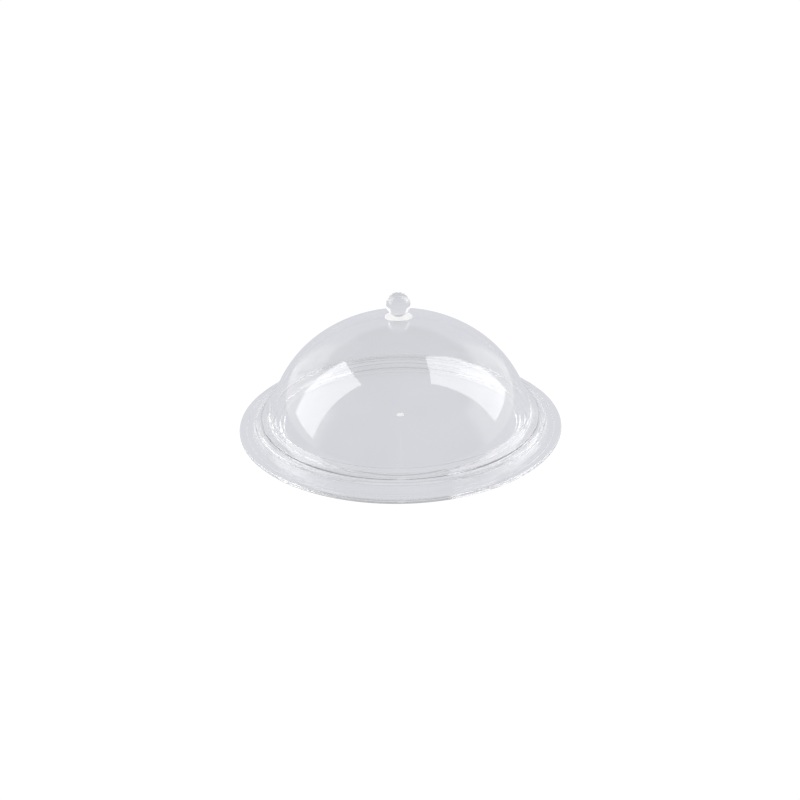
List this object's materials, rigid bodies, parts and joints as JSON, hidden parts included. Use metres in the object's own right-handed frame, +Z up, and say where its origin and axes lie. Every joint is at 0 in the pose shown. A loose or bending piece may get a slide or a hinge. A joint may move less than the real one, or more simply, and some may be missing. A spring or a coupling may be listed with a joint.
{
  "type": "round tray with dome cover",
  "caption": "Clear plastic round tray with a stepped rim and a flanged dome cover that lifts off by a ball knob.",
  "frame": {"origin": "centre of the tray's underside, on the plane the tray stands on", "axes": "+Z up along the axis of the tray, cover and knob; X and Y are any two square directions, because the part is round"},
  "size_m": [0.3, 0.3, 0.1254],
  "materials": {
    "clear_tray": "clear, polished moulding",
    "clear_cover": "clear, polished moulding",
    "clear_knob": "clear, polished moulding",
    "white_plastic": "white, satin"
  },
  "bodies": {
    "tray": {"tray": "clear_tray"},
    "cover": {"dome_cover": "clear_cover", "ball_knob": "clear_knob", "knob_washer": "white_plastic", "knob_nut": "white_plastic"}
  },
  "joints": [
    {"name": "cover_lift", "type": "slide", "parent": "tray", "child": "cover", "axis": [0, 0, 1], "range_m": [0, 0.16]}
  ]
}
